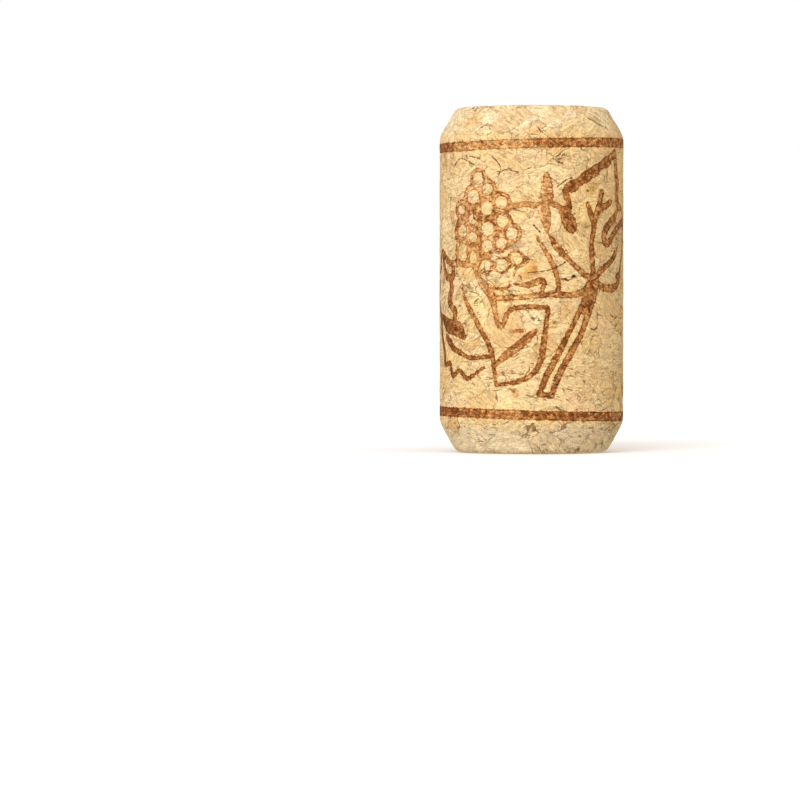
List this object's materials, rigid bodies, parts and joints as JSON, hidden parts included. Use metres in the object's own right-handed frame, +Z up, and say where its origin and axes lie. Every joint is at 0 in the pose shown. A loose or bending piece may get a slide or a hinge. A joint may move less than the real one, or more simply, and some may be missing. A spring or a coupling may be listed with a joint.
{
  "type": "wine cork",
  "caption": "Straight round bottle stopper of pressed cork granules, with chamfered ends and a printed vine ornament, for closing a wine bottle.",
  "frame": {"origin": "centre of the lower end face, which the cork stands on", "axes": "+Z up along the cork's axis; the printed bunch and leaf face -Y, as in the picture"},
  "size_m": [0.022, 0.022, 0.041],
  "materials": {
    "cork": "matt ground cork granules, printed in brown"
  },
  "bodies": {
    "root": {"cork_stopper": "cork"}
  },
  "joints": []
}
